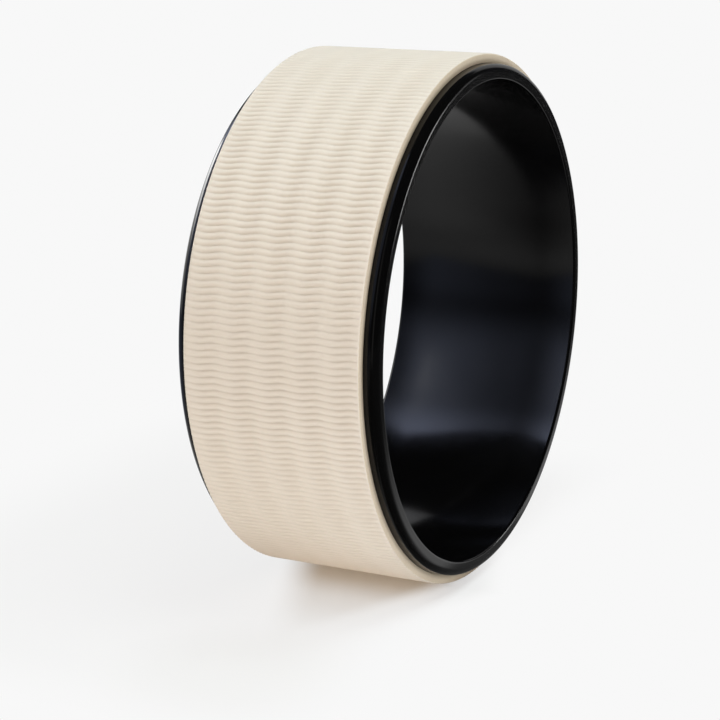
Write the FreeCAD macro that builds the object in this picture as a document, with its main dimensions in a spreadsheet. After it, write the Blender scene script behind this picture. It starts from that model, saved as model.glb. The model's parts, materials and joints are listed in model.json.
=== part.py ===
import FreeCAD, Part
import math
import os
import Sketcher

# Yoga wheel: a moulded plastic hoop with a cushioned tread strip bonded round it.
# The origin is the wheel's centre, +Y runs along its axis and +Z is up, so it stands on its tread.
# Lengths are in millimetres. Each driving dimension is one cell of the Sizes sheet.
doc = FreeCAD.newDocument("yoga_wheel")
sheet = doc.addObject("Spreadsheet::Sheet", "Sizes")
sizes = (
    ("wheel_diameter", 330.0, "overall diameter, over the tread"),
    ("hoop_width", 130.0, "hoop along the axis, rim to rim"),
    ("hoop_wall", 9.5, "hoop wall, outside to inside"),
    ("rim_outer_round", 4.5, "rounding of each rim's outer corner"),
    ("rim_inner_round", 1.4, "rounding of each rim's inner corner"),
    ("tread_width", 113.0, "tread strip along the axis"),
    ("tread_thickness", 5.8, "tread strip, outside to inside"),
    ("tread_edge_round", 1.0, "rounding of the tread's outer corners"),
    ("seam_gap", 0.3, "clearance between the strip's butted ends"),
    ("film_thickness", 0.2, "adhesive between hoop and tread"),
    ("film_setback", 2.0, "adhesive stops this far inside each tread edge"),
)
for row, (alias, value, meaning) in enumerate(sizes, start=1):
    sheet.set(f"A{row}", meaning)
    sheet.set(f"B{row}", str(value))
    sheet.setAlias(f"B{row}", alias)
doc.recompute()

# Radii, widths and turns that follow from the driving dimensions
TREAD_OUTSIDE = "(Sizes.wheel_diameter / 2)"
TREAD_INSIDE = f"({TREAD_OUTSIDE} - Sizes.tread_thickness)"
HOOP_OUTSIDE = f"({TREAD_INSIDE} - Sizes.film_thickness)"
HOOP_INSIDE = f"({HOOP_OUTSIDE} - Sizes.hoop_wall)"
FILM_WIDTH = "(Sizes.tread_width - 2 * Sizes.film_setback)"
FULL_TURN = "360"
TREAD_TURN = f"360 - Sizes.seam_gap / {TREAD_OUTSIDE} * 180 / pi"

# How a sketch constraint names a line's ends and the sketch's own X axis and origin
LINE_START = 1
LINE_END = 2
SKETCH_X_AXIS = -1
SKETCH_ORIGIN = (-1, 1)


def draw_section(sketch, inside, outside, width):
    """A rectangle centred on the sketch's X axis: a unit one, stretched to its radii and width."""
    corners = [FreeCAD.Vector(x, y, 0) for x, y in ((1, -1), (2, -1), (2, 1), (1, 1))]
    sides = zip(corners, corners[1:] + corners[:1])
    lines = [sketch.addGeometry(Part.LineSegment(start, end)) for start, end in sides]
    low, outer, high, inner = lines
    for line, following in zip(lines, lines[1:] + lines[:1]):
        sketch.addConstraint(Sketcher.Constraint("Coincident", line, LINE_END, following, LINE_START))
    for line in (low, high):
        sketch.addConstraint(Sketcher.Constraint("Horizontal", line))
    sketch.addConstraint(Sketcher.Constraint("Vertical", inner))
    sketch.addConstraint(Sketcher.Constraint("Symmetric", outer, LINE_START, outer, LINE_END, SKETCH_X_AXIS))
    held = (
        ("inside_radius", "DistanceX", (*SKETCH_ORIGIN, inner, LINE_START), inside),
        ("outside_radius", "DistanceX", (*SKETCH_ORIGIN, outer, LINE_START), outside),
        ("width", "DistanceY", (outer, LINE_START, outer, LINE_END), width),
    )
    for name, kind, ends, size in held:
        index = sketch.addConstraint(Sketcher.Constraint(kind, *ends, 1))
        sketch.renameConstraint(index, name)
        sketch.setExpression(f"Constraints.{name}", size)


def turned_ring(label, inside, outside, width, turn):
    """A body of rectangular section, turned about the wheel's axis from +X."""
    body = doc.addObject("PartDesign::Body", label)
    body.Label = label
    body.Placement = FreeCAD.Placement()
    plane = next(item for item in body.Origin.OriginFeatures if item.Role == "XY_Plane")
    sketch = body.newObject("Sketcher::SketchObject", f"{label}_section")
    sketch.AttachmentSupport = [(plane, "")]
    sketch.MapMode = "FlatFace"
    draw_section(sketch, inside, outside, width)
    ring = body.newObject("PartDesign::Revolution", f"{label}_ring")
    ring.Profile = sketch
    ring.ReferenceAxis = (sketch, ["V_Axis"])
    ring.setExpression("Angle", turn)
    doc.recompute()
    return body


def round_corners(body, name, section_radius, size):
    """Rounds both corners of the section that run round the ring at one of its two radii."""
    sketch = body.getObject(f"{body.Label}_section")
    radius = sketch.getDatum(section_radius).Value
    solid = body.Tip
    circles = []
    for number, edge in enumerate(solid.Shape.Edges, start=1):
        if isinstance(edge.Curve, Part.Circle) and math.isclose(edge.Curve.Radius, radius):
            circles.append(f"Edge{number}")
    rounding = body.newObject("PartDesign::Fillet", f"{body.Label}_{name}")
    rounding.Base = (solid, circles)
    rounding.setExpression("Radius", size)
    doc.recompute()


# The hoop: one gloss plastic moulding with a plain smooth inside and rounded rims
hoop = turned_ring("hoop", HOOP_INSIDE, HOOP_OUTSIDE, "Sizes.hoop_width", FULL_TURN)
round_corners(hoop, "rim_outer_corners", "outside_radius", "Sizes.rim_outer_round")
round_corners(hoop, "rim_inner_corners", "inside_radius", "Sizes.rim_inner_round")

# The adhesive: a thin film on the hoop's outside, hidden under the tread
film = turned_ring("adhesive_film", HOOP_OUTSIDE, TREAD_INSIDE, FILM_WIDTH, FULL_TURN)

# The tread: a foam strip wrapped once round, with its ends butted in a seam at +X
tread = turned_ring("tread_pad", TREAD_INSIDE, TREAD_OUTSIDE, "Sizes.tread_width", TREAD_TURN)
round_corners(tread, "outer_corners", "outside_radius", "Sizes.tread_edge_round")

# Every feature has to have worked before anything is written
for item in doc.Objects:
    if "Invalid" in item.State or "Error" in item.State:
        raise RuntimeError(f"{item.Label} failed: {item.State}")
os.makedirs("parts", exist_ok=True)
for body in (hoop, film, tread):
    if body.Shape.isNull() or not body.Shape.isValid():
        raise RuntimeError(f"{body.Label} has no valid shape")
    body.Shape.exportStep(f"parts/{body.Label}.step")
    print(body.Label, "volume", round(body.Shape.Volume), "box", body.Shape.optimalBoundingBox())
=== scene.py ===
import json
import math

import bmesh
import bpy
from mathutils import Matrix, Vector


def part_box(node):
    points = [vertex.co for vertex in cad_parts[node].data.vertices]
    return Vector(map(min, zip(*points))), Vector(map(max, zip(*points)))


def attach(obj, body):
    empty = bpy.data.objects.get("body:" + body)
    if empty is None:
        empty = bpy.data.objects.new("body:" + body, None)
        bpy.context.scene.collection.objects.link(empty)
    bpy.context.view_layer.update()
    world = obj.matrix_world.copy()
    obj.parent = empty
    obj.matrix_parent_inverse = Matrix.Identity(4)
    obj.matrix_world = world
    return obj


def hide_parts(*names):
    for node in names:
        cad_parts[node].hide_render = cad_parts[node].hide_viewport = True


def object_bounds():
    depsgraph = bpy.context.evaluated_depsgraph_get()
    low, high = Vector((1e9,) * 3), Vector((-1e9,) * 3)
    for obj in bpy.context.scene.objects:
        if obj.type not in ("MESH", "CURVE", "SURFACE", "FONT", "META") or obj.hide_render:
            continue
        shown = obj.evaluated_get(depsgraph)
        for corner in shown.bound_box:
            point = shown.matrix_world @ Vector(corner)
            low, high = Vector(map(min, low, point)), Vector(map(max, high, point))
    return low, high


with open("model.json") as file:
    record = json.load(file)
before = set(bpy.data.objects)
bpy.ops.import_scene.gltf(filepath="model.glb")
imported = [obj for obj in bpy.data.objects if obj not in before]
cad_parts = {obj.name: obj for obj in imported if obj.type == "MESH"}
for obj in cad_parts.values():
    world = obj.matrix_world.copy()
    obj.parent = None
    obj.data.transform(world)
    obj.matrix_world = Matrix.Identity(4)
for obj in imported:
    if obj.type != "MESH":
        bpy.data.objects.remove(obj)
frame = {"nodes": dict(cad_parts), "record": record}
cad_low, cad_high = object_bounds()
scene = bpy.context.scene
scene.view_settings.view_transform = "Standard"


# Hoop: the wheel's whole structure, one moulding of black ABS, polished to a gloss.
# Its two rims stand out past the tread with rounded corners, and its wall thickens a little towards them.
# Everything else is bonded round its outside.
mm = 0.001
hoop_half_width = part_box("hoop")[1].y
hoop_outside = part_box("hoop")[1].x
bore = next(mount for mount in frame["record"]["mounts"] if mount["name"] == "inside_bore")
hoop_inside = bore["dims"]["r_mm"] * mm
rim_inner_round = hoop_half_width - bore["dims"]["length_mm"] * mm / 2
rim_outer_round = 0.0045
bore_relief = 0.00105
lip_start = 0.040
corner_margin = 0.0004
hoop_steps = 512
outer_corner_steps = 14
inner_corner_steps = 8
bore_steps = 36
plastic_tones = ((0.0012, 0.0012, 0.0014), (0.0022, 0.0021, 0.0021))
plastic_flow_scale = 9.0
plastic_flow_height = 0.0003
handling_scale = 45.0
handling_detail = 5.0
plastic_roughness = (0.11, 0.15)
plastic_ior = 1.5
plastic_specular_level = 0.3
cloud_middle = (0.3, 0.7)
cloud_detail = 2.0


def quarter_round(radius, along, size, quarter, steps):
    """A section's rounded corner: this quarter of a circle, with one more point just before and after it."""
    first = math.pi / 2 * quarter
    last = math.pi / 2 * (quarter + 1)
    points = []
    for step in range(steps + 1):
        angle = math.pi / 2 * (quarter + step / steps)
        points.append((radius + size * math.cos(angle), along + size * math.sin(angle)))
    before = (points[0][0] + corner_margin * math.sin(first), points[0][1] - corner_margin * math.cos(first))
    after = (points[-1][0] - corner_margin * math.sin(last), points[-1][1] + corner_margin * math.cos(last))
    return [before, *points, after]


def hoop_section():
    """The hoop's section as (radius, along) points, counter-clockwise from the outside."""
    outer_radius = hoop_outside - rim_outer_round
    outer_along = hoop_half_width - rim_outer_round
    inner_radius = hoop_inside + rim_inner_round
    inner_along = hoop_half_width - rim_inner_round
    bore_face = []
    for step in range(1, bore_steps):
        along = inner_along * math.cos(math.pi * step / bore_steps)
        lip = max(abs(along) - lip_start, 0) / (inner_along - lip_start)
        bore_face.append((hoop_inside + bore_relief * (1 - lip ** 2), along))
    far_inner_corner = quarter_round(inner_radius, inner_along, rim_inner_round, 1, inner_corner_steps)
    near_inner_corner = quarter_round(inner_radius, -inner_along, rim_inner_round, 2, inner_corner_steps)
    return (
        quarter_round(outer_radius, outer_along, rim_outer_round, 0, outer_corner_steps)
        + far_inner_corner[:-1]
        + bore_face
        + near_inner_corner[1:]
        + quarter_round(outer_radius, -outer_along, rim_outer_round, 3, outer_corner_steps)
    )


def on_wheel(radius, along, angle):
    """A point at this radius and place along the axle, at an angle that runs from +X down under the wheel."""
    return (radius * math.cos(angle), along, -radius * math.sin(angle))


def new_piece(name, points, faces):
    mesh = bpy.data.meshes.new(name)
    mesh.from_pydata(points, [], faces)
    piece = bpy.data.objects.new(name, mesh)
    scene.collection.objects.link(piece)
    return piece


def hoop_mesh():
    """The section carried round the axle."""
    section = hoop_section()
    count = len(section)
    points = []
    faces = []
    for step in range(hoop_steps):
        angle = 2 * math.pi * step / hoop_steps
        points += [on_wheel(radius, along, angle) for radius, along in section]
    for step in range(hoop_steps):
        here = step * count
        there = (step + 1) % hoop_steps * count
        for place in range(count):
            following = (place + 1) % count
            faces.append((here + place, here + following, there + following, there + place))
    return new_piece("hoop_moulding", points, faces)


def node_adder(tree):
    """A way to add nodes, with their settings, to this tree."""

    def add(kind, **settings):
        node = tree.nodes.new(kind)
        for key, value in settings.items():
            setattr(node, key, value)
        return node

    return add


def new_material(name):
    """An empty node material with one Principled shader, and the ways to link and add its nodes."""
    material = bpy.data.materials.new(name)
    material.use_nodes = True
    tree = material.node_tree
    return material, tree.links.new, tree.nodes["Principled BSDF"], node_adder(tree)


def noise(add, link, place, scale, detail=cloud_detail):
    """Cloudy variation at this many cells per metre."""
    node = add("ShaderNodeTexNoise")
    node.inputs["Scale"].default_value = scale
    node.inputs["Detail"].default_value = detail
    link(place.outputs["Object"], node.inputs["Vector"])
    return node.outputs["Fac"]


def spread(add, link, source, low, high):
    """Stretches the middle of a cloudy value to run from low to high."""
    node = add("ShaderNodeMapRange")
    node.inputs["From Min"].default_value = cloud_middle[0]
    node.inputs["From Max"].default_value = cloud_middle[1]
    node.inputs["To Min"].default_value = low
    node.inputs["To Max"].default_value = high
    link(source, node.inputs["Value"])
    return node.outputs["Result"]


def two_tones(add, link, factor, first, second):
    """A colour that goes from the first tone to the second with the factor."""
    node = add("ShaderNodeMix", data_type="RGBA")
    node.inputs["A"].default_value = (*first, 1)
    node.inputs["B"].default_value = (*second, 1)
    link(factor, node.inputs["Factor"])
    return node.outputs["Result"]


def relief(add, link, height, distance):
    """Fine surface relief, this many metres high."""
    node = add("ShaderNodeBump")
    node.inputs["Distance"].default_value = distance
    link(height, node.inputs["Height"])
    return node.outputs["Normal"]


def gloss_black_plastic():
    """Nearly black, with faint flow waves from the mould and a varying polish from handling."""
    material, link, shader, add = new_material("gloss_black_plastic")
    place = add("ShaderNodeTexCoord")
    flow = noise(add, link, place, plastic_flow_scale)
    handling = noise(add, link, place, handling_scale, handling_detail)
    link(two_tones(add, link, flow, *plastic_tones), shader.inputs["Base Color"])
    link(spread(add, link, handling, *plastic_roughness), shader.inputs["Roughness"])
    link(relief(add, link, flow, plastic_flow_height), shader.inputs["Normal"])
    shader.inputs["IOR"].default_value = plastic_ior
    shader.inputs["Specular IOR Level"].default_value = plastic_specular_level
    return material


hoop = hoop_mesh()
hoop.data.shade_smooth()
hoop.data.materials.append(gloss_black_plastic())
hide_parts("hoop")
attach(hoop, "root")


# Adhesive: a thin film of contact cement between hoop and tread, set back from the tread's edges.
# It stays as the solid has it, and is seen only where the tread's ends meet.
cement_tones = ((0.62, 0.52, 0.36), (0.78, 0.70, 0.55))
cement_roughness = (0.35, 0.6)
brush_scale = 160.0
brush_detail = 4.0
brush_height = 0.00005


def dried_cement():
    material, link, shader, add = new_material("dried_cement")
    place = add("ShaderNodeTexCoord")
    brush = noise(add, link, place, brush_scale, brush_detail)
    link(two_tones(add, link, brush, *cement_tones), shader.inputs["Base Color"])
    link(spread(add, link, brush, *cement_roughness), shader.inputs["Roughness"])
    link(relief(add, link, brush, brush_height), shader.inputs["Normal"])
    return material


film = frame["nodes"]["adhesive_film"]
film.data.materials.clear()
film.data.materials.append(dried_cement())


# Tread: one strip of closed-cell foam rubber, bonded round the hoop and closed with a butt seam at +X.
# Wavy ribs were rolled into its face as a sheet, and the strip was cut from the sheet slightly askew.
# Distances run round the strip from its seam, and the sheet's own pattern is set out from the wheel's top.
tread_half_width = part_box("tread_pad")[1].y
tread_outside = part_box("tread_pad")[1].x
tread_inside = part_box("adhesive_film")[1].x
seam_gap = 0.0003
strip_length = 2 * math.pi * tread_outside - seam_gap
top_turn_share = 0.75
top_of_strip = top_turn_share * 2 * math.pi * tread_outside
edge_round = 0.0009
edge_round_steps = 3
face_columns = 38
rib_pitch = 0.004025
rib_depth = 0.00085
rib_steps = (0.0, 0.07, 0.15, 0.28, 0.5, 0.72, 0.85, 0.93)
spare_ribs = 2
phase_corrections = 4
groove_narrowing = 2.3
rising_rib_gain = 0.48
quiet_edge_width = 0.0016
quiet_edge_share = 0.5
rib_wave_length = 0.0220
rib_wave_height = 0.00051
wave_start = -0.0006
sheet_turn = math.radians(1.63)
top_distance_of_sheet_centre = 0.200
groove_at_top_distance = 0.20262
merge_distance = 0.000001
skin_tones = ((0.825, 0.757, 0.670), (0.855, 0.792, 0.715))
skin_cloud_scale = 30.0
skin_cloud_detail = 3.0
skin_cell_scale = 1500.0
skin_cell_height = 0.00004
skin_cell_shade = (0.96, 0.955, 0.95)
skin_roughness = (0.68, 0.8)
skin_ior = 1.45
skin_sheen = 0.08
skin_sheen_roughness = 0.5
# Painted shade: how far the skin's colour is darkened at the groove bottoms, standing in for shade there.
painted_groove_shade = (0.93, 0.935, 0.94)
cut_tones = ((0.76, 0.65, 0.50), (0.86, 0.74, 0.58))
cut_cell_scale = 1700.0
cut_cell_height = 0.00012
cut_roughness = 0.9
# Painted shade on the cut edge: it darkens within this height of the hoop, where shade falls between tread
# and hoop.
painted_hoop_shade_height = 0.0035
painted_hoop_shade = (0.62, 0.60, 0.57)
skin_slope_limit = math.radians(30)
crease_angle = math.radians(50)
corners_of_a_strip_face = 4
skin_index = 0
cut_index = 1
axle_plane = (1, 0, 1)


def groove_share(phase):
    """How much of the full groove depth is cut at this many ribs from a groove's middle."""
    return ((1 + math.cos(2 * math.pi * phase)) / 2) ** groove_narrowing


def wave_angle(sheet_along):
    """How far a rib is through its wave, as an angle."""
    return 2 * math.pi * (sheet_along - wave_start) / rib_wave_length


def sheet_place(distance, along):
    """Where a point of the strip lay on the embossed sheet: across its ribs and along them."""
    down = top_of_strip - distance - top_distance_of_sheet_centre
    across = down * math.cos(sheet_turn) - along * math.sin(sheet_turn)
    return across, along * math.cos(sheet_turn) + down * math.sin(sheet_turn)


def rib_phase(distance, along):
    """How many ribs a point of the strip lies from the first groove."""
    across, sheet_along = sheet_place(distance, along)
    wave = rib_wave_height * math.sin(wave_angle(sheet_along))
    first_groove = groove_at_top_distance - top_distance_of_sheet_centre
    return (across - wave - first_groove) / rib_pitch


def groove_depth(distance, along):
    """The emboss runs deeper where the wave rises, and is shallower at the strip's cut edges."""
    sheet_along = sheet_place(distance, along)[1]
    gain = 1 + rising_rib_gain * math.cos(wave_angle(sheet_along))
    inward = min((tread_half_width - abs(along)) / quiet_edge_width, 1)
    edge = quiet_edge_share + (1 - quiet_edge_share) * inward
    return rib_depth * edge * gain * groove_share(rib_phase(distance, along))


def distance_of_phase(phase, along):
    """The place round the strip where a rib line has this phase, by a few steps of correction."""
    distance = top_of_strip - top_distance_of_sheet_centre - phase * rib_pitch
    for correction in range(phase_corrections):
        distance += (rib_phase(distance, along) - phase) * rib_pitch
    return distance


def tread_section():
    """The strip's section as (radius, along, rib share) points, counter-clockwise from its outer face."""
    round_radius = tread_outside - edge_round
    round_along = tread_half_width - edge_round
    face = []
    for column in range(face_columns + 1):
        face.append((tread_outside, round_along * (2 * column / face_columns - 1), 1.0))
    far_round = []
    for step in range(1, edge_round_steps + 1):
        angle = math.pi / 2 * step / edge_round_steps
        radius = round_radius + edge_round * math.cos(angle)
        along = round_along + edge_round * math.sin(angle)
        far_round.append((radius, along, math.cos(angle) ** 2))
    far_side = [(tread_inside, tread_half_width, 0.0)]
    near_side = [(radius, -along, share) for radius, along, share in reversed(far_round + far_side)]
    return face + far_round + far_side + near_side


def tread_mesh():
    """The section carried round the strip, in rows along the ribs; rows past the seam gather at it."""
    section = tread_section()
    count = len(section)
    edges = (-tread_half_width, tread_half_width)
    first_rib = math.floor(min(rib_phase(strip_length, along) for along in edges)) - spare_ribs
    last_rib = math.ceil(max(rib_phase(0, along) for along in edges)) + spare_ribs
    phases = [rib - step for rib in range(last_rib, first_rib, -1) for step in rib_steps]
    rows = len(phases) - 1
    points = []
    faces = []
    for phase in phases:
        for radius, along, share in section:
            distance = min(max(distance_of_phase(phase, along), 0), strip_length)
            depth = share * groove_depth(distance, along)
            points.append(on_wheel(radius - depth, along, distance / tread_outside))
    for row in range(rows):
        here = row * count
        there = here + count
        for place in range(count):
            following = (place + 1) % count
            faces.append((here + place, here + following, there + following, there + place))
    faces.append(tuple(reversed(range(count))))
    faces.append(tuple(range(rows * count, rows * count + count)))
    return new_piece("tread_strip", points, faces)


def weld(piece):
    """Merges the points that a cut end brings together, and turns every face outward."""
    work = bmesh.new()
    work.from_mesh(piece.data)
    bmesh.ops.remove_doubles(work, verts=work.verts, dist=merge_distance)
    bmesh.ops.recalc_face_normals(work, faces=work.faces)
    work.to_mesh(piece.data)
    work.free()


def axle_distance(add, link, place):
    """A shader value: how far the surface is from the wheel's axle."""
    flat = add("ShaderNodeVectorMath", operation="MULTIPLY")
    flat.inputs[1].default_value = axle_plane
    link(place.outputs["Object"], flat.inputs[0])
    length = add("ShaderNodeVectorMath", operation="LENGTH")
    link(flat.outputs["Vector"], length.inputs[0])
    return length.outputs["Value"]


def ease(add, link, source, start, end, low=0.0, high=1.0):
    """A shader value that eases from low to high as the source goes from start to end."""
    node = add("ShaderNodeMapRange", interpolation_type="SMOOTHSTEP")
    node.inputs["From Min"].default_value = start
    node.inputs["From Max"].default_value = end
    node.inputs["To Min"].default_value = low
    node.inputs["To Max"].default_value = high
    link(source, node.inputs["Value"])
    return node.outputs["Result"]


def multiply_tone(add, link, tone, factor, shade):
    """Darkens a colour by a shade where the factor is 1."""
    node = add("ShaderNodeMix", data_type="RGBA", blend_type="MULTIPLY")
    node.inputs["B"].default_value = (*shade, 1)
    link(factor, node.inputs["Factor"])
    link(tone, node.inputs["A"])
    return node.outputs["Result"]


def foam_skin():
    """The closed, matte skin of the face, with painted shade making it a little darker down in the grooves.
    """
    material, link, shader, add = new_material("foam_skin")
    place = add("ShaderNodeTexCoord")
    clouds = noise(add, link, place, skin_cloud_scale, skin_cloud_detail)
    cells = noise(add, link, place, skin_cell_scale)
    # Painted shade: the skin's colour darkens towards the groove bottoms.
    groove = ease(add, link, axle_distance(add, link, place), tread_outside, tread_outside - rib_depth)
    tone = two_tones(add, link, clouds, *skin_tones)
    tone = multiply_tone(add, link, tone, groove, painted_groove_shade)
    tone = multiply_tone(add, link, tone, cells, skin_cell_shade)
    link(tone, shader.inputs["Base Color"])
    link(spread(add, link, cells, *skin_roughness), shader.inputs["Roughness"])
    link(relief(add, link, cells, skin_cell_height), shader.inputs["Normal"])
    shader.inputs["IOR"].default_value = skin_ior
    shader.inputs["Sheen Weight"].default_value = skin_sheen
    shader.inputs["Sheen Roughness"].default_value = skin_sheen_roughness
    return material


def foam_cut():
    """The sheet's cut edge, where the open cells show; painted shade darkens it towards the hoop."""
    material, link, shader, add = new_material("foam_cut")
    place = add("ShaderNodeTexCoord")
    cells = add("ShaderNodeTexVoronoi", feature="F1")
    cells.inputs["Scale"].default_value = cut_cell_scale
    link(place.outputs["Object"], cells.inputs["Vector"])
    tone = two_tones(add, link, cells.outputs["Distance"], *cut_tones)
    # Painted shade: the cut edge's colour darkens towards the hoop.
    painted_hoop_shade_mask = ease(add, link, axle_distance(add, link, place), tread_inside + painted_hoop_shade_height, tread_inside)
    link(multiply_tone(add, link, tone, painted_hoop_shade_mask, painted_hoop_shade), shader.inputs["Base Color"])
    link(relief(add, link, cells.outputs["Distance"], cut_cell_height), shader.inputs["Normal"])
    shader.inputs["Roughness"].default_value = cut_roughness
    return material


tread = tread_mesh()
weld(tread)
tread.data.materials.append(foam_skin())
tread.data.materials.append(foam_cut())
for face in tread.data.polygons:
    cut_side = abs(face.normal.y) >= math.cos(skin_slope_limit)
    cut_end = len(face.vertices) > corners_of_a_strip_face
    face.material_index = cut_index if cut_side or cut_end else skin_index
tread.data.shade_smooth()
tread.data.set_sharp_from_angle(angle=crease_angle)
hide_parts("tread_pad")
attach(tread, "root")


# Floor: a plain white studio table, with a dark shadow where the wheel rests and a faint one around it.
# Elsewhere it is an even white that is only seen, so it adds no light to the wheel.
# Each span below is where a part of the shadow starts and ends, with its depths there if not 0 and 1.
floor_height = cad_low.z
floor_size = 60.0
floor_white = 0.938
floor_colour = (0.90, 0.90, 0.90)
floor_roughness = 0.9
core_front = (-0.042, -0.085, 1.0, 0.5)
core_tail = (-0.07, -0.15, 1.0, 0.25)
core_back = (0.20, 0.10)
core_left = (0.034, 0.068, 1.0, 0.0)
core_right = (-0.060, -0.036, 0.35, 1.0)
core_right_tail = (-0.092, -0.060)
core_lean = 0.4
core_lean_start = 0.03
haze_right = (-0.08, -0.02, 0.0, 0.135)
haze_left = (0.35, 0.22)
haze_front = (-0.30, -0.23)
haze_back = (0.30, 0.18)
pool_middle = (-0.215, 0.0, 0.0)
pool_reach = (0.09, 0.02, 0.0, 0.20)


def combine(add, link, operation, first, second):
    """One shader value from two."""
    node = add("ShaderNodeMath", operation=operation)
    link(first, node.inputs[0])
    link(second, node.inputs[1])
    return node.outputs["Value"]


def by_value(add, link, operation, source, value):
    """A shader value combined with a plain number."""
    node = add("ShaderNodeMath", operation=operation)
    node.inputs[1].default_value = value
    link(source, node.inputs[0])
    return node.outputs["Value"]


def size_of(add, link, source):
    """A shader value without its sign."""
    node = add("ShaderNodeMath", operation="ABSOLUTE")
    link(source, node.inputs[0])
    return node.outputs["Value"]


def product(add, link, *factors):
    """Shader values multiplied together."""
    total = factors[0]
    for factor in factors[1:]:
        total = combine(add, link, "MULTIPLY", total, factor)
    return total


def uncovered(add, link, *covers):
    """The share that is left open after each cover has taken its part of what was left."""
    open_shares = []
    for cover in covers:
        negative = by_value(add, link, "MULTIPLY", cover, -1.0)
        open_shares.append(by_value(add, link, "ADD", negative, 1.0))
    return product(add, link, *open_shares)


def seen_directly(add, link):
    """1 where a surface is seen by the camera, in a reflection or through something clear."""
    path = add("ShaderNodeLightPath")
    total = path.outputs["Is Camera Ray"]
    for other in ("Is Glossy Ray", "Is Transmission Ray"):
        total = combine(add, link, "MAXIMUM", total, path.outputs[other])
    return total


def split_axes(add, link, position):
    """The x, y and z of a shader position."""
    axes = add("ShaderNodeSeparateXYZ")
    link(position, axes.inputs["Vector"])
    return axes.outputs["X"], axes.outputs["Y"], axes.outputs["Z"]


def core_shadow(add, link, x, y):
    """The dark shadow where the tread rests; it narrows away from the line of contact."""
    past_start = by_value(add, link, "ADD", x, core_lean_start)
    lean = by_value(add, link, "MULTIPLY", size_of(add, link, past_start), core_lean)
    from_left = combine(add, link, "ADD", y, lean)
    from_right = combine(add, link, "SUBTRACT", y, lean)
    return product(
        add,
        link,
        ease(add, link, x, *core_front),
        ease(add, link, x, *core_tail),
        ease(add, link, x, *core_back),
        ease(add, link, from_left, *core_left),
        ease(add, link, from_right, *core_right),
        ease(add, link, from_right, *core_right_tail),
    )


def shadow_haze(add, link, x, y):
    """The wide, faint shadow on the left of the wheel and in front of it."""
    return product(
        add,
        link,
        ease(add, link, y, *haze_right),
        ease(add, link, y, *haze_left),
        ease(add, link, x, *haze_front),
        ease(add, link, x, *haze_back),
    )


def contact_pool(add, link, place):
    """The soft round shade just in front of the wheel."""
    away = add("ShaderNodeVectorMath", operation="DISTANCE")
    away.inputs[1].default_value = pool_middle
    link(place.outputs["Object"], away.inputs[0])
    return ease(add, link, away.outputs["Value"], *pool_reach)


def table_white():
    """A plain lit surface in the shadows, blending into an even white around them."""
    material, link, shader, add = new_material("table_white")
    place = add("ShaderNodeTexCoord")
    x, y = split_axes(add, link, place.outputs["Object"])[:2]
    shadows = core_shadow(add, link, x, y), shadow_haze(add, link, x, y), contact_pool(add, link, place)
    even_share = product(add, link, uncovered(add, link, *shadows), seen_directly(add, link))
    even = add("ShaderNodeEmission")
    even.inputs["Color"].default_value = (floor_white, floor_white, floor_white, 1)
    blend = add("ShaderNodeMixShader")
    link(even_share, blend.inputs["Fac"])
    link(shader.outputs["BSDF"], blend.inputs[1])
    link(even.outputs["Emission"], blend.inputs[2])
    link(blend.outputs["Shader"], material.node_tree.nodes["Material Output"].inputs["Surface"])
    shader.inputs["Base Color"].default_value = (*floor_colour, 1)
    shader.inputs["Roughness"].default_value = floor_roughness
    shader.inputs["Specular IOR Level"].default_value = 0.0
    return material


def flat_square(name, size, height):
    half = size / 2
    corners = [(-half, -half, 0), (half, -half, 0), (half, half, 0), (-half, half, 0)]
    square = new_piece(name, corners, [(0, 1, 2, 3)])
    square.location.z = height
    return square


floor = flat_square("studio_floor", floor_size, floor_height)
floor.data.materials.append(table_white())


# Reflection cards: a dark tent, lit cards close behind and beside the wheel, and black card on the table.
# Only reflections in the gloss plastic meet them: they cast no light or shadow, and the camera sees none.
# Each span below is where a glow or cover starts and ends, with its values there if not 0 and 1.
tent_radius = 3.0
tent_rings = 12
tent_steps = 48
tent_colour = (0.02, 0.02, 0.022)
card_white = (1.0, 1.0, 1.0)
side_card_distance = 1.3
back_card_along = 0.30
window_card_along = 0.299
high_card_outline = (
    (0.03, 0.40),
    (-0.20, 0.68),
    (-0.15, 0.80),
    (-0.15, 0.95),
    (-0.95, 0.95),
    (-0.95, floor_height),
    (-0.06, floor_height),
)
high_card_colour = (0.65, 0.73, 1.0)
high_card_close = (0.66, 0.43, 0.40, 1.78)
high_card_dim_ring = (0.72, 0.77, 1.0, 0.45)
high_card_outer_ring = (0.77, 0.82, 0.0, 0.36)
high_card_rise = (0.05, 0.28, 0.2, 1.0)
high_card_foot = (0.04, -0.06, 0.0, 0.12)
high_card_edge_direction = (0.77, 0.0, 0.64)
high_card_edge = (0.10, 0.28, 1.0, 2.6)
low_card_outline = (
    (0.40, floor_height),
    (0.94, floor_height),
    (0.57, 0.31),
    (0.50, 0.40),
    (0.42, 0.36),
    (0.40, 0.31),
)
low_card_colour = (0.95, 0.97, 1.0)
far_rim_card_outline = ((-0.06, floor_height), (0.40, floor_height), (0.40, 0.20), (-0.06, 0.20))
window_card_outline = ((-0.32, 0.02), (0.0, 0.02), (0.0, 0.25), (-0.10, 0.34), (-0.25, 0.26))
window_card_rise = (0.12, 0.27, 1.5, 16.0)
left_card_colour = (1.0, 0.98, 0.95)
black_card_lift = 0.0005
black_card_grey = (-0.10, -0.40, 0.03, 0.06)
left_cover = (-0.03, -0.12)
left_cover_back = (0.15, 0.05)
stripe_direction = (-0.25, 0.97, 0.0)
left_cover_stripe = (0.01, 0.05, 0.6, 1.0)
mid_left_cover = (-0.09, -0.20, 0.0, 0.3)
far_left_cover = (-0.25, -0.65, 0.0, 0.6)
behind_direction = (0.12, 1.0, 0.0)
behind_cover = (0.165, 0.055, 0.12, 0.8)
behind_cover_start = (0.045, 0.060)
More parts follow.
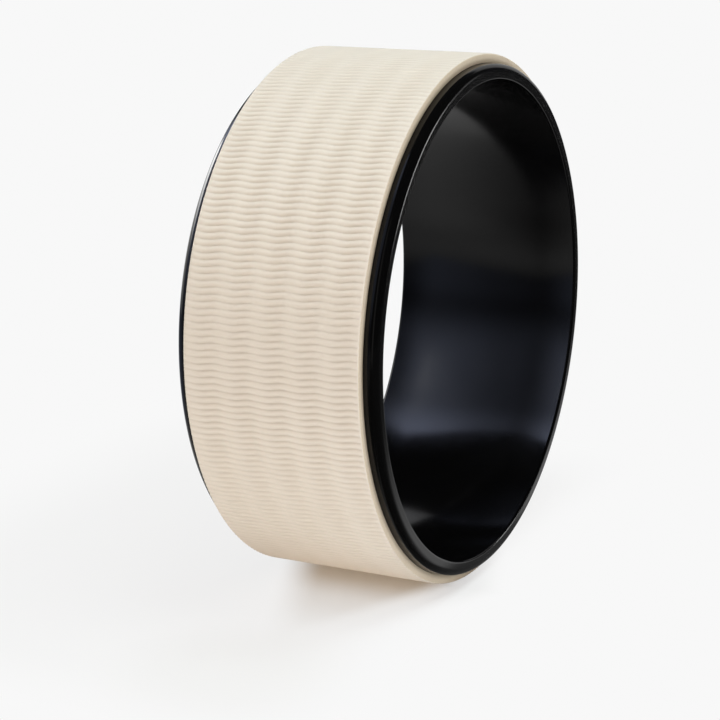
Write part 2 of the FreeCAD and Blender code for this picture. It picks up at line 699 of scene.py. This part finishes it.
behind_cover_end = (0.14, 0.10)
under_cover = (-0.050, -0.056, 0.0, 0.8)
under_cover_end = (-0.098, -0.085)
front_cover = (-0.07, -0.30)
front_left_cover = (0.05, -0.10, 0.15, 0.85)
front_left_cover_start = (-0.035, -0.050)


def glow(name, colour, strength=1.0):
    """A material that only glows; returns it with its nodes, so that a card can shade it."""
    material, link, shader, add = new_material(name)
    light = add("ShaderNodeEmission")
    light.inputs["Color"].default_value = (*colour, 1)
    light.inputs["Strength"].default_value = strength
    link(light.outputs["Emission"], material.node_tree.nodes["Material Output"].inputs["Surface"])
    material.cycles.emission_sampling = "NONE"
    return material, link, light, add


def reflection_only(card, material):
    card.data.materials.append(material)
    card.visible_camera = False
    card.visible_diffuse = False
    card.visible_transmission = False
    card.visible_shadow = False


def lit_evenly(card, colour, strength):
    reflection_only(card, glow(card.name + "_glow", colour, strength)[0])


def tent_mesh():
    """A dome over the table, in rings that rise to a flat cap."""
    points = []
    faces = []
    for ring in range(tent_rings):
        lift = math.pi / 2 * ring / tent_rings
        reach = tent_radius * math.cos(lift)
        height = floor_height + tent_radius * math.sin(lift)
        for step in range(tent_steps):
            turn = 2 * math.pi * step / tent_steps
            points.append((reach * math.cos(turn), reach * math.sin(turn), height))
    for ring in range(tent_rings - 1):
        for step in range(tent_steps):
            here = ring * tent_steps + step
            beside = ring * tent_steps + (step + 1) % tent_steps
            faces.append((here, beside, beside + tent_steps, here + tent_steps))
    faces.append(tuple(range((tent_rings - 1) * tent_steps, tent_rings * tent_steps)))
    return new_piece("dark_tent", points, faces)


def back_card(name, outline, along=back_card_along):
    """A flat card behind the wheel, from (x, height) corners."""
    return new_piece(name, [(x, along, height) for x, height in outline], [tuple(range(len(outline)))])


def side_card(name, azimuths, heights):
    """An upright card beside the wheel, between two azimuths in degrees, which turn from -Y towards +X."""
    foot, top = heights
    corners = []
    for azimuth_degrees, height in zip((*azimuths, *reversed(azimuths)), (foot, foot, top, top)):
        azimuth = math.radians(azimuth_degrees)
        away = Vector((math.sin(azimuth), -math.cos(azimuth), 0)) * side_card_distance
        corners.append(away + Vector((0, 0, height)))
    return new_piece(name, corners, [(0, 1, 2, 3)])


def reach_along(add, link, place, direction):
    """A shader value: how far the surface lies along a direction."""
    node = add("ShaderNodeVectorMath", operation="DOT_PRODUCT")
    node.inputs[1].default_value = direction
    link(place.outputs["Object"], node.inputs[0])
    return node.outputs["Value"]


def high_card_glow():
    """Bright close to the wheel and high up, dark further out and low down, with a paler outer edge."""
    material, link, light, add = glow("high_card_glow", high_card_colour)
    place = add("ShaderNodeTexCoord")
    height = split_axes(add, link, place.outputs["Object"])[2]
    away = axle_distance(add, link, place)
    close = ease(add, link, away, *high_card_close)
    close = product(add, link, close, ease(add, link, away, *high_card_dim_ring))
    close = combine(add, link, "ADD", close, ease(add, link, away, *high_card_outer_ring))
    high = ease(add, link, height, *high_card_rise)
    high = combine(add, link, "ADD", high, ease(add, link, height, *high_card_foot))
    edge = ease(add, link, reach_along(add, link, place, high_card_edge_direction), *high_card_edge)
    link(product(add, link, close, high, edge), light.inputs["Strength"])
    return material


def window_card_glow():
    """A white card that is brightest at the top."""
    material, link, light, add = glow("window_card_glow", card_white)
    place = add("ShaderNodeTexCoord")
    height = split_axes(add, link, place.outputs["Object"])[2]
    link(ease(add, link, height, *window_card_rise), light.inputs["Strength"])
    return material


def black_card_covers(add, link, place, x, y):
    """How far black card covers the table: on the left, in front, and partly behind and under the wheel."""
    from_stripe = size_of(add, link, reach_along(add, link, place, stripe_direction))
    from_behind = reach_along(add, link, place, behind_direction)
    left = product(
        add,
        link,
        ease(add, link, x, *left_cover),
        ease(add, link, y, *left_cover_back),
        ease(add, link, from_stripe, *left_cover_stripe),
    )
    behind = product(
        add,
        link,
        ease(add, link, from_behind, *behind_cover),
        ease(add, link, y, *behind_cover_start),
        ease(add, link, x, *behind_cover_end),
    )
    under = product(add, link, ease(add, link, y, *under_cover), ease(add, link, y, *under_cover_end))
    front_left = product(
        add,
        link,
        ease(add, link, x, *front_left_cover),
        ease(add, link, y, *front_left_cover_start),
    )
    mid_left = ease(add, link, x, *mid_left_cover)
    far_left = ease(add, link, x, *far_left_cover)
    front = ease(add, link, y, *front_cover)
    return left, mid_left, far_left, behind, under, front, front_left


def black_card_shade():
    """Black where the card covers the table, and clear where the table shows."""
    material, link, light, add = glow("black_card_shade", card_white)
    place = add("ShaderNodeTexCoord")
    x, y = split_axes(add, link, place.outputs["Object"])[:2]
    link(ease(add, link, y, *black_card_grey), light.inputs["Strength"])
    clear = add("ShaderNodeBsdfTransparent")
    blend = add("ShaderNodeMixShader")
    link(uncovered(add, link, *black_card_covers(add, link, place, x, y)), blend.inputs["Fac"])
    link(light.outputs["Emission"], blend.inputs[1])
    link(clear.outputs["BSDF"], blend.inputs[2])
    link(blend.outputs["Shader"], material.node_tree.nodes["Material Output"].inputs["Surface"])
    return material


left_card = side_card("left_card", azimuths=(-84, -70), heights=(floor_height, 1.5))
corner_card = side_card("corner_card", azimuths=(47, 54), heights=(-0.12, 0.18))
small_card = side_card("small_card", azimuths=(54, 60), heights=(0.08, 0.36))
right_card = side_card("right_card", azimuths=(73, 115), heights=(0.10, 1.0))
black_card = flat_square("black_card", 2 * tent_radius, floor_height + black_card_lift)
lit_evenly(tent_mesh(), tent_colour, strength=1.0)
lit_evenly(back_card("low_card", low_card_outline), low_card_colour, strength=0.85)
lit_evenly(back_card("far_rim_card", far_rim_card_outline), card_white, strength=1.0)
lit_evenly(left_card, left_card_colour, strength=0.35)
lit_evenly(corner_card, card_white, strength=7.5)
lit_evenly(small_card, card_white, strength=0.5)
lit_evenly(right_card, card_white, strength=0.5)
reflection_only(back_card("high_card", high_card_outline), high_card_glow())
reflection_only(back_card("window_card", window_card_outline, window_card_along), window_card_glow())
reflection_only(black_card, black_card_shade())


# Lights: a soft room that is brighter on the near side, -Y, than on the far one.
# A cool softbox hangs overhead, a warm one stands in front of the tread, and the lit table throws light up.
room_near_side = (0.58, 0.535, 0.51)
room_far_side = (0.06, 0.05, 0.045)
wheel_centre = (0, 0, 0)
bounce_size = 0.6
bounce_lift = 0.001


def softbox(name, position, aim, size, power, colour):
    light = bpy.data.lights.new(name, "AREA")
    light.size = size
    light.energy = power
    light.color = colour
    box = bpy.data.objects.new(name, light)
    box.location = position
    box.rotation_euler = (Vector(aim) - Vector(position)).to_track_quat("-Z", "Y").to_euler()
    box.visible_camera = False
    box.visible_glossy = False
    scene.collection.objects.link(box)


def table_bounce(name, x, y, power, colour):
    """A lamp that lies on the table and shines straight up."""
    softbox(name, (x, y, floor_height + bounce_lift), (x, y, 1), bounce_size, power, colour)


def studio_room():
    """The light that comes from all round; where it is seen itself, it is as white as the table."""
    world = bpy.data.worlds.new("studio_room")
    world.use_nodes = True
    tree = world.node_tree
    link = tree.links.new
    add = node_adder(tree)
    scene.world = world
    direction = add("ShaderNodeTexCoord")
    y = split_axes(add, link, direction.outputs["Generated"])[1]
    side = add("ShaderNodeMapRange")
    side.inputs["From Min"].default_value = -1.0
    link(y, side.inputs["Value"])
    lit = two_tones(add, link, side.outputs["Result"], room_near_side, room_far_side)
    seen = add("ShaderNodeMix", data_type="RGBA")
    seen.inputs["B"].default_value = (floor_white, floor_white, floor_white, 1)
    link(seen_directly(add, link), seen.inputs["Factor"])
    link(lit, seen.inputs["A"])
    link(seen.outputs["Result"], tree.nodes["Background"].inputs["Color"])


studio_room()
softbox(
    "overhead_softbox",
    position=(-0.10, -0.35, 1.40),
    aim=wheel_centre,
    size=0.8,
    power=13.2,
    colour=(0.887, 0.994, 1.0),
)
softbox(
    "front_fill",
    position=(-1.45, -0.10, 0.30),
    aim=wheel_centre,
    size=0.9,
    power=6.1,
    colour=(1.0, 0.89, 0.775),
)
table_bounce("near_table_bounce", x=-0.15, y=-0.40, power=0.70, colour=(0.86, 0.90, 1.0))
table_bounce("far_table_bounce", x=-0.25, y=0.25, power=0.23, colour=(1.0, 0.82, 0.63))


# Camera: the photograph's viewpoint, a little above the wheel and well round towards the tread.
# A long lens from over a metre away keeps the two rims nearly parallel.
view_azimuth = math.radians(-64.433)
view_elevation = math.radians(12.630)
view_distance = 1.33497
view_aim = Vector((-0.016353, 0.016398, -0.029446))
view_roll = math.radians(-0.211)
view_lens_mm = 105.198
sensor_mm = 36.0

camera_data = bpy.data.cameras.new("photo_view")
camera_data.lens = view_lens_mm
camera_data.sensor_width = sensor_mm
camera = bpy.data.objects.new("photo_view", camera_data)
camera.location = view_distance * Vector((
    math.sin(view_azimuth) * math.cos(view_elevation),
    -math.cos(view_azimuth) * math.cos(view_elevation),
    math.sin(view_elevation),
))
level = (view_aim - camera.location).to_track_quat("-Z", "Y").to_matrix()
camera.rotation_euler = (level @ Matrix.Rotation(view_roll, 3, "Z")).to_euler()
scene.collection.objects.link(camera)
scene.camera = camera
